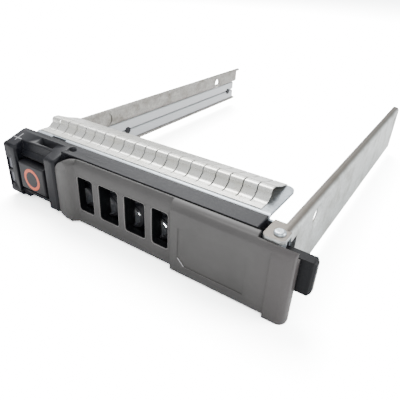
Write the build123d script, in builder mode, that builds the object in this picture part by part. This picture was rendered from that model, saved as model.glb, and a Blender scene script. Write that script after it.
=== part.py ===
"""Hot swap drive caddy for a 2.5 inch drive.

A plastic front frame and a steel shield join two steel rails that hold the drive by its side
screws. A lever with a vented cover turns on a rivet at the right and its hook levers the caddy
into the chassis. A button at the left rocks on a pin and holds the lever's free end.

Millimetres. X runs along the front from the button to the rivet, Y from the front to the rear,
Z up. The origin is the middle of the outer box, on the surface that the caddy lies on.
"""

import os

from build123d import *

os.makedirs("parts", exist_ok=True)

# Overall sizes
bezel_height = 16.0
frame_depth = 7.3  # front plane to the rear of the frame
hook_reach = 2.75  # hook beyond the right end of the lever
left_rail_end = 112.0  # from the front plane
right_rail_end = 100.0
block_proud = 0.3  # how far the lever's end block stands in front of the front plane
block_drop = 0.6  # and how far it hangs below the frame

# Drive, and the width that it gives the front
drive_width = 69.85
drive_slack = 0.15
rail_inset = 4.6  # left end of the frame to the inner face of the left rail
lever_overhang = 3.8  # inner face of the right rail to the right end of the lever
bezel_width = rail_inset + drive_width + drive_slack + lever_overhang

# Datum: the frame's left end, the front plane, and the frame's underside
left = -(bezel_width + hook_reach) / 2
face = -(left_rail_end - block_proud) / 2
base = block_drop
top = base + bezel_height

# Sheet metal, plastic walls and fits
rail_sheet = 0.8
shield_sheet = 0.6
bend_radius = 0.5
plastic_wall = 1.2
turn_fit = 0.05  # radial clearance of a turning fit
snug_fit = 0.02  # radial clearance of a fixed pin
seat_gap = 0.2  # clearance between pieces that only lie beside each other
past = 1.0  # how far a cutter goes past the surface it cuts

# Drive's screw holes
screw_front = 19.4  # first drive screw from the front plane
screw_pitch = 76.6
screw_below_flange = 3.0
screw_hole_radius = 1.6
dimple_radius = 2.75
dimple_angle = 130

# Steel shield behind the frame
plate_back = 20.9  # rear edge of its top plate
plate_corner = 2.0
sill_length = 2.2  # lower flange
sill_rise = 0.9  # lower flange above the frame's underside
sill_left = 11.0  # left end of the lower flange
rail_offset = 3.8  # left end of the frame to the outer face of the left rail's upper wall

# Contact finger strip on the top plate
finger_count = 20
finger_pitch = 3.175
finger_slit = 0.28
finger_sheet = 0.2
finger_inset = 0.6  # plate's left edge to the first finger
strip_setback = 1.2  # plate's front to the strip's front
slit_start = 1.2  # strip's front to the slits
finger_profile = ((0, 0), (2.5, 0), (4.0, 1.2), (4.1, 2.4), (5.7, 2.4), (8.8, 1.1), (12.3, 0.05))
finger_bends = (1.5, 0.4, 0.6, 2.0, 3.0)

# Left end of the frame, button recess and post
end_width = 19.0  # left end block with its post
end_slope = 1.8  # fall of the block's top from its ridge to the front
ridge_back = 5.5  # ridge of that top behind the front plane
end_corner = 1.6
post_corner = 0.9
end_edge = 0.8
ear_width = 4.4  # column that carries the two light windows
post_width = 3.3
recess_depth = 4.6
recess_floor = 2.3
recess_roof = 3.0  # frame's top to the recess
lip_setback = 0.9  # the bar over the button stands back this far
lip_round = 2.5
sill_notch = 1.5  # the underside rises this far below the button
sill_notch_left = 6.6
foot_lift = 0.45  # the block's underside above the frame's underside
tunnel_floor = 2.2
tunnel_top = 8.0
tunnel_front = 3.0
tunnel_back = 5.1

# Top strip of the frame, and the vents behind the lever
strip_front = 2.7  # front plane to the strip's front edge
frame_short = 4.8  # right end of the frame to the inner face of the right rail
end_wall_front = 4.2
shoulder = ((0, -4.0), (0, 0), (7.0, 0), (3.5, -1.8))  # from the end block, and from the top
vent_count = 4
vent_pitch = 7.55
vent_first = 4.65  # first vent from the cover's left edge
vent_rows = (4.9, 11.2)
vent_radius = 2.6
collar_wall = 0.7
collar_length = 1.2
slot_length = 6.1
slot_width = 2.0
slot_depth = 2.0
slot_from_left = 8.9
slot_back = 3.4
eyelet_radius = 0.75
eyelet_from_left = 20.1
eyelet_back = 4.9
eyelet_step = 1.2
notch_from_left = 9.6  # notch in the shield's front bend, behind the slot
notch_length = 5.0

# Light pipes
pipe_width = 1.6
pipe_height = 3.1
pipe_corner = 0.4
pipe_front_levels = (4.9, 8.9)  # middle heights above the frame's underside, in the windows
pipe_rear_levels = (5.0, 8.5)  # and along the rail
pipe_from_left = 1.65  # middle of the pipe in its window
pipe_recess = 0.4  # pipe's face behind the front plane
pipe_jog_start = 8.6
pipe_jog_end = 13.4
pipe_jog_radius = 3.0
pipe_tail = 1.5  # pipe's rear end in front of the rail's rear end
stud_places = (41.0, 106.0)
stud_head_radius = 1.1
stud_head = 0.25
stud_shank_radius = 0.35

# Left rail
left_rail_lift = 2.6  # its underside above the frame's underside
left_flange = 2.0
left_flange_start = 21.3
pocket_room = 0.15  # upper pipe to the underside of the pocket's shelf
pocket_depth = 2.1  # how far the pocket's wall stands outside the upper wall
pocket_start = 14.0
pocket_corner = 0.2
lip_short = 0.3  # the lower lip stops this far outside the bay
dot_radius = 2.0
dot_depth = 0.3
dot_back = 32.0
dot_height = 12.7
return_width = 6.0  # tab of each rail behind the shield

# Right rail
right_rail_lift = 1.8  # its underside above the frame's underside
right_flange = 2.0
web_front = 4.9  # front edge of the wall above the hook's notch
foot_front = 5.8  # and below it
notch_back = 8.0
notch_above = 0.55  # room above the hook in the notch
notch_below = 1.0
ear_reach = 2.5  # pivot to the upper ear's left side
ear_front = 1.2
ear_back = 7.0
ear_corner = 1.0

# Lever pivot
pivot_inset = 4.7  # right end of the lever to the pivot
pivot_back = 3.3
rivet_radius = 0.8
rivet_head_radius = 1.15
rivet_head = 0.6
bush_radius = 1.5
bush_height = 1.7
barrel_radius = 1.7
lower_ear_radius = 1.5

# Lever cover: its left half is measured from its left edge, its right half from its right end
cover_gap = 0.3  # end block to the cover's left edge
cover_back = 2.2  # rear edge of the cover behind the front plane
cover_wall = 1.1
bevel_width = 2.0  # bevel along the grip's left edge
bevel_depth = 1.5
grip_right = 5.3
grip_cavity = (2.2, 4.3)
grip_cavity_fall = 4.5  # top to the hollow in the grip
panel_setback = 1.1  # vented panel behind the front plane
panel_right = 33.0
panel_step = 0.5
brow_fall = 1.3  # slope over the vented panel
block_gap = 0.4  # pivot to the end block's left side
block_fall = 0.7
block_corner = 1.6
cover_round = 3.1  # round along the top of the thick part
grip_corner = 4.0
heel_reach = 2.9  # the cover is cut back under the rail's ear, from here left of the pivot
heel_back = 0.9
heel_fall = 2.7
window_bottom = 3.45
window_fall = 3.6  # top to the windows
window_edges = ((6.0, 11.05), (12.65, 18.6), (20.15, 26.15), (27.7, 32.2))
window_corner = 0.8
label_edges = (23.8, 8.7)
label_bottom = 2.2
label_fall = 5.0
label_depth = 0.15
label_cut = 1.7
peg_places = (21.4, 11.4)
peg_radius = 1.0
peg_proud = 0.2

# Lever arm
arm_setin = 0.9  # cover's left edge to the arm's
arm_sheet = 1.0
arm_bottom = 2.3
arm_fall = 2.1
arm_corner = (5.7, 4.6)  # its top corner is cut away, from the cover's left edge and the top
arm_heel_bottom = 5.9
rib_depth = 1.5
rib_left = 5.7
rib_height = 0.8
hook_height = 7.15
hook_fall = 2.65
hook_thick = 2.3
hook_back = 4.7
hook_bevel = 0.5
nose_width = 2.0
nose_height = 3.0
nose_front = 4.1
nose_thick = 0.7
catch_gap = 0.1  # the catch is cut this far short of its bite on the nose

# Button
button_side_gap = 0.7
button_groove = 1.3  # dark groove between the button and the post
button_bottom = 3.2
button_top = 10.5
button_setback = 0.1
button_thick = 2.9
button_corner = 0.4
button_pin_back = 1.8
button_pin_height = 4.3
button_pin_radius = 0.6
button_pin_seat = 1.0
button_pin_chamfer = 0.15
tooth_thick = 0.6
catch_thick = 0.8
catch_height = 1.6
catch_root = 3.0
catch_rise = 1.2

# Springs
spring_wire = 0.17  # radius
button_coil_radius = 0.9
button_coil_turns = 4
button_coil_height = 2.2
button_coil_pocket = 3.0
button_coil_front = 0.5  # wall left in front of the pocket
button_coil_room = 1.3  # pocket above the pin
button_leg_up = 3.5
button_leg_down = 1.5
leg_groove = 0.7
leg_groove_height = 4.0
lever_coil_radius = 1.93
lever_coil_turns = 5.25
lever_coil_lift = 0.3
lever_coil_height = 2.6
lever_leg_front = 9.0
lever_leg_rear = 2.9

# Screws that hold the frame to the shield
screw_insets = (12.0, 9.8)  # from the frame's left end, and from its right end
screw_height = 8.2
screw_radius = 0.95
screw_head_radius = 1.9
screw_head = 0.9
screw_length = 3.0
screw_drive_radius = 0.55
screw_drive_depth = 0.45
boss_radius = 1.9

# Places worked out from the sizes above
bay_left = left + rail_inset
bay_right = bay_left + drive_width + drive_slack
rail_outer = left + rail_offset
right_outer = bay_right + rail_sheet
frame_right = bay_right - frame_short
frame_back = face + frame_depth
shield_back = frame_back + shield_sheet
flange_under = top - rail_sheet
fold = bend_radius + rail_sheet
screw_z = flange_under - screw_below_flange
screw_tip = shield_back - screw_length
right_edge = left + bezel_width
pivot_x = right_edge - pivot_inset
pivot_y = face + pivot_back
lower_ear_bottom = base + right_rail_lift
lower_ear_top = lower_ear_bottom + rail_sheet
barrel_bottom = lower_ear_top + seat_gap / 2
bush_bottom = flange_under - bush_height
barrel_top = bush_bottom - seat_gap / 2
post_left = left + end_width - post_width
button_left = left + ear_width + button_side_gap
button_right = post_left - button_groove
button_back = face + button_setback + button_thick
button_middle = (button_left + button_right) / 2
pin_start = left + ear_width - button_pin_seat
pin_length = post_left + button_pin_seat - pin_start
pin_y = face + button_pin_back
pin_z = base + button_pin_height
catch_front = face + nose_front - seat_gap - tooth_thick
catch_back = catch_front + catch_thick
catch_bottom = base + button_bottom
catch_top = catch_bottom + catch_height
tooth_top = catch_top + catch_rise
cover_x = left + end_width + cover_gap
arm_x = cover_x + arm_setin
arm_front = face + cover_back
arm_back = arm_front + arm_sheet
pocket_wall = rail_outer - pocket_depth
pipe_rail_x = pocket_wall + rail_sheet + turn_fit + pipe_width / 2
left_end = face + left_rail_end
right_end = face + right_rail_end
strip_x = rail_outer + finger_inset
strip_y = frame_back + strip_setback
stud_z = base + sum(pipe_rear_levels) / 2
pocket_top = base + pipe_rear_levels[-1] + pipe_height / 2 + pocket_room + rail_sheet
screw_places = (left + screw_insets[0], frame_right - screw_insets[1])
window_foot = base + window_bottom
window_top = top - window_fall
label_left = right_edge - label_edges[0]
label_right = right_edge - label_edges[1]
label_top = top - label_fall
heel_top = top - heel_fall
hook_top = top - hook_fall
notch_top = hook_top + notch_above
notch_bottom = hook_top - hook_height - notch_below


def block(x0, x1, y0, y1, z0, z1, mode=Mode.ADD):
    """A box between two opposite corners."""
    with Locations(((x0 + x1) / 2, (y0 + y1) / 2, (z0 + z1) / 2)):
        Box(x1 - x0, y1 - y0, z1 - z0, mode=mode)


def bar(x, y, z, radius, length, axis, mode=Mode.ADD):
    """A round bar that starts at a point and runs along X, Y or Z."""
    turn = {"x": (0, 90, 0), "y": (-90, 0, 0), "z": (0, 0, 0)}[axis]
    with Locations(Location((x, y, z), turn)):
        Cylinder(radius, length, align=(Align.CENTER, Align.CENTER, Align.MIN), mode=mode)


def vents(y, length, radius, mode):
    """The round vents, in columns behind the lever's windows."""
    for column in range(vent_count):
        for level in vent_rows:
            bar(cover_x + vent_first + vent_pitch * column, y, base + level, radius, length, "y", mode)


def torsion_spring(plane, radius, turns, height, first_leg, last_leg):
    """A coil about the plane's normal, with straight legs where the wire comes off it."""
    with BuildLine(mode=Mode.PRIVATE) as wire:
        Helix(height / turns, height, radius)
    coil = wire.line.moved(plane.location)
    with BuildSketch(Plane(coil @ 0, z_dir=coil % 0)) as section:
        Circle(spring_wire)
    sweep(sections=section.sketch, path=coil, is_frenet=True)
    for point, way, length in ((coil @ 0, -(coil % 0), first_leg), (coil @ 1, coil % 1, last_leg)):
        with BuildSketch(Plane(point, z_dir=way)) as section:
            Circle(spring_wire)
        extrude(section.sketch, amount=length)


# Front frame: one black moulding with the button's recess, the light windows, the post, and an
# open channel behind the lever whose rear wall is pierced by the vents.
with BuildPart() as front_frame:
    with BuildSketch(Plane.YZ.offset(left)):
        with BuildLine():
            Polyline(
                (face, base + foot_lift),
                (face, top - end_slope),
                (face + ridge_back, top),
                (frame_back, top),
                (frame_back, base + foot_lift),
                close=True,
            )
        make_face()
    extrude(amount=end_width)
    side_edges = front_frame.edges().filter_by(Axis.Z).group_by(Axis.Y)[0].sort_by(Axis.X)
    fillet(side_edges[0], radius=end_corner)
    side_edges = front_frame.edges().filter_by(Axis.Z).group_by(Axis.X)[-1].sort_by(Axis.Y)
    fillet(side_edges[0], radius=post_corner)
    fillet(front_frame.faces().sort_by(Axis.Y)[0].edges().filter_by(Axis.X), radius=end_edge)
    # the bar over the button stands back from the ear and the post
    with BuildSketch(Plane.YZ.offset(left + ear_width)):
        with BuildLine():
            lip = face + lip_setback
            RadiusArc((lip, top - lip_round), (lip + lip_round, top), lip_round)
            Polyline((lip + lip_round, top), (lip + lip_round, top + past), (face - past, top + past),
                     (face - past, base), (lip, base), (lip, top - lip_round))
        make_face()
    extrude(amount=post_left - left - ear_width, mode=Mode.SUBTRACT)
    # recess of the button, with a tunnel behind the post for its catch
    block(left + ear_width, post_left, face - past, face + recess_depth,
          base + recess_floor, top - recess_roof, Mode.SUBTRACT)
    block(post_left - past, left + end_width + past, face + tunnel_front, face + tunnel_back,
          base + tunnel_floor, base + tunnel_top, Mode.SUBTRACT)
    block(left + sill_notch_left, post_left, face - past, frame_back + past,
          base, base + sill_notch, Mode.SUBTRACT)
    # channel behind the lever: top strip, foot, rear wall, end wall and the shoulder
    block(left + end_width, frame_right, face + strip_front, frame_back, top - plastic_wall, top)
    block(left + end_width, frame_right, face + strip_front, frame_back,
          base + foot_lift, base + foot_lift + plastic_wall)
    block(left + end_width, frame_right, frame_back - plastic_wall, frame_back,
          base + foot_lift, top)
    block(frame_right - plastic_wall, frame_right, face + end_wall_front, frame_back,
          base + foot_lift, top)
    with BuildSketch(Plane.XZ.offset(-frame_back)):
        with BuildLine():
            Polyline(*[(left + end_width + x, top + z) for x, z in shoulder], close=True)
        make_face()
    extrude(amount=frame_depth - strip_front)
    vents(frame_back - plastic_wall - collar_length, collar_length, vent_radius + collar_wall,
          Mode.ADD)
    vents(face + strip_front, frame_depth, vent_radius, Mode.SUBTRACT)
    bar(screw_places[-1], screw_tip, base + screw_height, boss_radius,
        frame_back - screw_tip, "y")
    for place in screw_places:
        bar(place, screw_tip, base + screw_height, screw_radius + snug_fit, screw_length,
            "y", Mode.SUBTRACT)
    # windows that the light pipes stand in
    for level in pipe_front_levels:
        block(left + pipe_from_left - pipe_width / 2 - turn_fit,
              left + pipe_from_left + pipe_width / 2 + turn_fit, face - past, frame_back + past,
              base + level - pipe_height / 2 - turn_fit, base + level + pipe_height / 2 + turn_fit,
              Mode.SUBTRACT)
    # slot and eyelets in the top, and the seats of the button's pin
    block(left + slot_from_left, left + slot_from_left + slot_length, face + slot_back,
          face + slot_back + slot_width, top - slot_depth, top + past, Mode.SUBTRACT)
    for side in (-1, 1):
        bar(left + eyelet_from_left + side * eyelet_step / 2, face + eyelet_back,
            top - plastic_wall - past, eyelet_radius, plastic_wall + 2 * past, "z", Mode.SUBTRACT)
    bar(pin_start, pin_y, pin_z, button_pin_radius + snug_fit, pin_length, "x", Mode.SUBTRACT)
front_frame.part.label = "front_frame"
export_step(front_frame.part, "parts/front_frame.step")

# Release button: a rocker with a bore for its pin, and a catch that reaches behind the post to
# the lever's nose.
with BuildPart() as release_button:
    block(button_left, button_right, face + button_setback, button_back,
          base + button_bottom, base + button_top)
    fillet(release_button.faces().sort_by(Axis.Y)[0].edges(), radius=button_corner)
    block(button_right - catch_root, arm_x + nose_width, catch_front, catch_back,
          catch_bottom, catch_top)
    block(button_right - catch_root, button_right, pin_y, catch_back, catch_bottom, catch_top)
    block(arm_x, arm_x + nose_width, catch_front, catch_front + tooth_thick, catch_top, tooth_top)
    # pocket of the spring and groove of its upper leg
    block(button_middle - button_coil_pocket / 2, button_middle + button_coil_pocket / 2,
          face + button_setback + button_coil_front, button_back + past,
          base + button_bottom - past, pin_z + button_coil_room, Mode.SUBTRACT)
    block(button_middle + button_coil_height / 2 - leg_groove / 2,
          button_middle + button_coil_height / 2 + leg_groove, button_back - leg_groove,
          button_back + past, pin_z, pin_z + leg_groove_height, Mode.SUBTRACT)
    bar(pin_start, pin_y, pin_z, button_pin_radius + turn_fit, pin_length, "x", Mode.SUBTRACT)
release_button.part.label = "release_button"
export_step(release_button.part, "parts/release_button.step")

with BuildPart() as button_pin:
    bar(pin_start, pin_y, pin_z, button_pin_radius, pin_length, "x")
    chamfer(button_pin.edges().filter_by(GeomType.CIRCLE), length=button_pin_chamfer)
button_pin.part.label = "button_pin"
export_step(button_pin.part, "parts/button_pin.step")

with BuildPart() as button_spring:
    coil_seat = Plane((button_middle - button_coil_height / 2, pin_y, pin_z), x_dir=(0, 1, 0),
                      z_dir=(1, 0, 0))
    torsion_spring(coil_seat, button_coil_radius, button_coil_turns, button_coil_height,
                   button_leg_down, button_leg_up)
button_spring.part.label = "button_spring"
export_step(button_spring.part, "parts/button_spring.step")

# Lever cover: grey shell with a grip, a vented panel set back between the grip and the thick
# end, and an end block over the rivet.
with BuildPart() as lever_cover:
    with BuildSketch(Plane.XY.offset(base)):
        with BuildLine():
            Polyline(
                (right_edge, face + block_corner),
                (right_edge, arm_front),
                (cover_x, arm_front),
                (cover_x, face + bevel_depth),
                (cover_x + bevel_width, face),
                (cover_x + grip_right - panel_setback, face),
                (cover_x + grip_right, face + panel_setback),
                (cover_x + panel_right, face + panel_setback),
                (cover_x + panel_right + panel_step, face),
                (right_edge - block_corner, face),
            )
            TangentArc((right_edge - block_corner, face), (right_edge, face + block_corner),
                       tangent=(1, 0))
        make_face()
    extrude(amount=bezel_height)
    # the end block stands proud in front and below
    with BuildSketch():
        with BuildLine():
            Polyline(
                (right_edge, face - block_proud + block_corner),
                (right_edge, arm_front),
                (pivot_x + block_gap, arm_front),
                (pivot_x + block_gap, face - block_proud),
                (right_edge - block_corner, face - block_proud),
            )
            TangentArc((right_edge - block_corner, face - block_proud),
                       (right_edge, face - block_proud + block_corner), tangent=(1, 0))
        make_face()
    extrude(amount=base + bezel_height)
    # top edge: a round along the grip and the thick end, a plain slope over the vents
    with BuildSketch(Plane.YZ.offset(left)):
        with BuildLine():
            round_start = (face - block_proud, top - cover_round)
            TangentArc(round_start, (arm_front, top), tangent=(0, 1))
            Polyline((arm_front, top), (arm_front, top + past), (face - past, top + past),
                     (face - past, top - cover_round), round_start)
        make_face()
    extrude(amount=bezel_width + past, mode=Mode.SUBTRACT)
    with BuildSketch(Plane.YZ.offset(cover_x + grip_right)):
        with BuildLine():
            Polyline((face, top - brow_fall), (face + panel_setback, top - brow_fall),
                     (arm_front, top), (face, top), close=True)
        make_face()
    extrude(amount=panel_right - grip_right, mode=Mode.SUBTRACT)
    block(pivot_x + block_gap, right_edge + past, face - past, arm_front + past,
          top - block_fall, top + past, Mode.SUBTRACT)
    # corners of the grip, and the cut-back under the rail's ear
    with BuildSketch(Plane.XZ.offset(-arm_front - past)):
        with BuildLine():
            corner_start = (cover_x, top - grip_corner)
            TangentArc(corner_start, (cover_x + grip_corner, top), tangent=(0, 1))
            Polyline((cover_x + grip_corner, top),
                     (cover_x + grip_corner, top + past),
                     (cover_x - past, top + past),
                     (cover_x - past, top - grip_corner), corner_start)
        make_face()
    extrude(amount=cover_back + 2 * past, mode=Mode.SUBTRACT)
    block(pivot_x - heel_reach, right_edge + past, face + heel_back, arm_front + past,
          heel_top, top + past, Mode.SUBTRACT)
    # hollow behind the front wall, and the pegs that hold the cover to the arm
    block(cover_x + grip_cavity[0], cover_x + grip_cavity[1], face + cover_wall, arm_front + past,
          base + cover_wall, top - grip_cavity_fall, Mode.SUBTRACT)
    block(cover_x + panel_right + panel_step + cover_wall, right_edge - cover_wall,
          face + cover_wall, arm_front + past, base + cover_wall,
          heel_top - cover_wall / 2, Mode.SUBTRACT)
    bar(pivot_x, pivot_y, base + cover_wall, barrel_radius + seat_gap, bezel_height, "z",
        Mode.SUBTRACT)
    for place in peg_places:
        bar(right_edge - place, face + cover_wall, base + bezel_height / 2, peg_radius,
            cover_back - cover_wall + arm_sheet + peg_proud, "y")
    # windows and the shallow label panel
    for start, end in window_edges:
        with BuildSketch(Plane.XZ.offset(-arm_front - past)):
            with Locations((cover_x + (start + end) / 2, (window_foot + window_top) / 2)):
                RectangleRounded(end - start, window_top - window_foot, window_corner)
        extrude(amount=cover_back + past, mode=Mode.SUBTRACT)
    with BuildSketch(Plane.XZ.offset(-face - label_depth)):
        with BuildLine():
            Polyline(
                (label_left, label_top),
                (label_right, label_top),
                (label_right, base + label_bottom),
                (label_left + label_cut, base + label_bottom),
                (label_left, base + label_bottom + label_cut),
                close=True,
            )
        make_face()
    extrude(amount=label_depth + past, mode=Mode.SUBTRACT)
lever_cover.part.label = "lever_cover"
export_step(lever_cover.part, "parts/lever_cover.step")

# Lever arm: black moulding behind the cover, with ribs between the vents, the barrel that turns
# on the rivet, the nose that the button's catch holds, and the hook.
with BuildPart() as lever_arm:
    block(arm_x, pivot_x, arm_front, arm_back, base + arm_bottom, top - arm_fall)
    for start, end in window_edges:
        block(cover_x + start, cover_x + end, arm_front - past, arm_back + past,
              window_foot, window_top, Mode.SUBTRACT)
    for (_, rib_start), (rib_end, _) in zip(window_edges, window_edges[1:]):
        block(cover_x + rib_start, cover_x + rib_end, arm_back, arm_back + rib_depth,
              window_foot, window_top)
    block(cover_x + rib_left, cover_x + panel_right, arm_back, arm_back + rib_depth,
          window_top, window_top + rib_height)
    # corners that clear the frame's shoulder, the catch, the rail's ears and the spring
    block(arm_x - past, cover_x + arm_corner[0], arm_front - past, arm_back + past,
          top - arm_corner[1], top, Mode.SUBTRACT)
    block(arm_x - past, arm_x + nose_width + 2 * seat_gap, arm_front - past, arm_back + past,
          base, tooth_top + catch_gap, Mode.SUBTRACT)
    block(pivot_x - heel_reach, pivot_x + past, arm_front - past, arm_back + past,
          heel_top, top, Mode.SUBTRACT)
    block(pivot_x - heel_reach, pivot_x + past, arm_front - past, arm_back + past,
          base, base + arm_heel_bottom, Mode.SUBTRACT)
    block(arm_x, arm_x + nose_width, arm_back, face + nose_front + nose_thick,
          tooth_top + catch_gap, tooth_top + catch_gap + nose_height)
    bar(pivot_x, pivot_y, barrel_bottom, barrel_radius, barrel_top - barrel_bottom, "z")
    block(pivot_x, right_edge + hook_reach, face + hook_back - hook_thick, face + hook_back,
          hook_top - hook_height, hook_top)
    chamfer(lever_arm.faces().sort_by(Axis.X)[-1].edges(), length=hook_bevel)
    for place in peg_places:
        bar(right_edge - place, arm_front - past, base + bezel_height / 2, peg_radius + turn_fit,
            arm_sheet + 2 * past, "y", Mode.SUBTRACT)
    bar(pivot_x, pivot_y, base, rivet_radius + turn_fit, bezel_height, "z", Mode.SUBTRACT)
lever_arm.part.label = "lever_arm"
export_step(lever_arm.part, "parts/lever_arm.step")

# Rivet through both ears of the right rail, and the bush between the lever and the upper ear.
with BuildPart() as lever_rivet:
    bar(pivot_x, pivot_y, lower_ear_bottom, rivet_radius, top - lower_ear_bottom, "z")
    bar(pivot_x, pivot_y, lower_ear_bottom - rivet_head, rivet_head_radius, rivet_head, "z")
    bar(pivot_x, pivot_y, top, rivet_head_radius, rivet_head, "z")
    fillet(lever_rivet.edges().group_by(Axis.Z)[-1], radius=rivet_head * 0.8)
lever_rivet.part.label = "lever_rivet"
export_step(lever_rivet.part, "parts/lever_rivet.step")

with BuildPart() as pivot_bush:
    bar(pivot_x, pivot_y, bush_bottom, bush_radius, bush_height, "z")
    bar(pivot_x, pivot_y, bush_bottom - past, rivet_radius + snug_fit, bush_height + 2 * past,
        "z", Mode.SUBTRACT)
pivot_bush.part.label = "pivot_bush"
export_step(pivot_bush.part, "parts/pivot_bush.step")

# Lever spring: a torsion coil round the lower barrel, with one leg in the cover's hollow and one
# leg towards the shield.
with BuildPart() as lever_spring:
    coil_seat = Plane((pivot_x, pivot_y, barrel_bottom + lever_coil_lift), x_dir=(0, -1, 0))
    torsion_spring(coil_seat, lever_coil_radius, lever_coil_turns, lever_coil_height,
                   lever_leg_front, lever_leg_rear)
lever_spring.part.label = "lever_spring"
export_step(lever_spring.part, "parts/lever_spring.step")

# Steel shield: a pierced wall behind the frame with a wide plate folded back from its top and a
# narrow flange from its foot.
with BuildPart() as front_shield:
    wall_bottom = base + sill_rise
    with BuildSketch(Plane.YZ.offset(rail_outer)):
        with BuildLine():
            FilletPolyline(
                (face + plate_back, top),
                (frame_back, top),
                (frame_back, wall_bottom),
                (frame_back + sill_length, wall_bottom),
                radius=bend_radius + shield_sheet,
            )
            offset(amount=shield_sheet, side=Side.LEFT)
        make_face()
    extrude(amount=frame_right - rail_outer)
    fillet(front_shield.edges().filter_by(Axis.Z).group_by(Axis.Y)[-1], radius=plate_corner)
    block(frame_right, bay_right - seat_gap / 2, frame_back, shield_back,
          lower_ear_top + seat_gap, flange_under - seat_gap / 2)
    block(rail_outer - past, left + sill_left, frame_back - past, frame_back + sill_length + past,
          base, wall_bottom + shield_sheet + bend_radius, Mode.SUBTRACT)
    vents(frame_back - past, shield_sheet + 2 * past, vent_radius, Mode.SUBTRACT)
    block(left + notch_from_left, left + notch_from_left + notch_length, frame_back - past,
          shield_back + bend_radius / 2, top - 2 * shield_sheet, top + past, Mode.SUBTRACT)
    for place in screw_places:
        bar(place, frame_back - past, base + screw_height, screw_radius + turn_fit,
            shield_sheet + 2 * past, "y", Mode.SUBTRACT)
front_shield.part.label = "front_shield"
export_step(front_shield.part, "parts/front_shield.step")

# Contact fingers: one springy strip, slit into fingers that arch up and come down to the plate.
with BuildPart() as contact_fingers:
    with BuildSketch(Plane.YZ.offset(strip_x)):
        with BuildLine():
            FilletPolyline(*[(strip_y + y, top + z) for y, z in finger_profile],
                           radius=list(finger_bends))
            offset(amount=finger_sheet, side=Side.LEFT)
        make_face()
    extrude(amount=finger_count * finger_pitch - finger_slit)
    for finger in range(1, finger_count):
        slit_x = strip_x + finger * finger_pitch
        block(slit_x - finger_slit, slit_x, strip_y + slit_start,
              strip_y + finger_profile[-1][0] + past, top - past,
              top + finger_profile[3][1] + past, Mode.SUBTRACT)
contact_fingers.part.label = "contact_fingers"
export_step(contact_fingers.part, "parts/contact_fingers.step")

# Left rail: folded sheet with a flange on top and a pocket along its lower half for the pipes.
with BuildPart() as left_rail:
    rail_foot = base + left_rail_lift
    with BuildSketch(Plane.XZ.offset(-left_end)):
        with BuildLine():
            FilletPolyline(
                (rail_outer + left_flange, top),
                (rail_outer, top),
                (rail_outer, pocket_top),
                (pocket_wall, pocket_top),
                (pocket_wall, rail_foot),
                (bay_left - lip_short, rail_foot),
                radius=[fold, pocket_corner, fold, fold],
            )
            offset(amount=rail_sheet, side=Side.LEFT)
        make_face()
    extrude(amount=left_end - shield_back)
    block(pocket_wall - past, bay_left + past, shield_back - past, face + pocket_start,
          rail_foot - past, pocket_top, Mode.SUBTRACT)
    block(pocket_wall - past, rail_outer, shield_back - past, face + pocket_start,
          rail_foot - past, pocket_top + past, Mode.SUBTRACT)
    block(rail_outer - past, rail_outer + left_flange + past, shield_back - past,
          face + left_flange_start, top - fold, top + past, Mode.SUBTRACT)
    block(rail_outer, bay_left + return_width, shield_back, shield_back + rail_sheet,
          pocket_top, top - fold)
    for place in (screw_front, screw_front + screw_pitch):
        bar(pocket_wall - past, face + place, screw_z, dimple_radius, pocket_depth + past, "x",
            Mode.SUBTRACT)
        bar(rail_outer - past, face + place, screw_z, screw_hole_radius, rail_sheet + 2 * past,
            "x", Mode.SUBTRACT)
    bar(bay_left - dot_depth, face + dot_back, base + dot_height, dot_radius, dot_depth + past, "x",
        Mode.SUBTRACT)
    for place in stud_places:
        bar(pocket_wall - past, face + place, stud_z, stud_shank_radius + snug_fit,
            rail_sheet + 2 * past, "x", Mode.SUBTRACT)
left_rail.part.label = "left_rail"
export_step(left_rail.part, "parts/left_rail.step")

# Light pipes: clear bars from the windows in the frame, out round the shield and along the rail.
for name, front_level, rear_level in zip(("lower_light_pipe", "upper_light_pipe"),
                                         pipe_front_levels, pipe_rear_levels):
    with BuildPart() as light_pipe:
        with BuildLine() as route:
            FilletPolyline(
                (left + pipe_from_left, face + pipe_recess, base + front_level),
                (left + pipe_from_left, face + pipe_jog_start, base + front_level),
                (pipe_rail_x, face + pipe_jog_end, base + rear_level),
                (pipe_rail_x, left_end - pipe_tail, base + rear_level),
                radius=pipe_jog_radius,
            )
        with BuildSketch(Plane.XZ.offset(-face - pipe_recess)):
            with Locations((left + pipe_from_left, base + front_level)):
                RectangleRounded(pipe_width, pipe_height, pipe_corner)
        sweep(path=route.line)
        for place in stud_places:
            bar(pipe_rail_x - pipe_width, face + place, stud_z, stud_shank_radius + turn_fit,
                2 * pipe_width, "x", Mode.SUBTRACT)
    light_pipe.part.label = name
    export_step(light_pipe.part, f"parts/{name}.step")

# Push studs that hold the pipes in the rail's pocket.
with BuildPart() as pipe_studs:
    head_x = pipe_rail_x + pipe_width / 2 + turn_fit
    for place in stud_places:
        bar(pocket_wall, face + place, stud_z, stud_shank_radius, head_x - pocket_wall, "x")
        bar(head_x, face + place, stud_z, stud_head_radius, stud_head, "x")
pipe_studs.part.label = "pipe_studs"
export_step(pipe_studs.part, "parts/pipe_studs.step")

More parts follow.
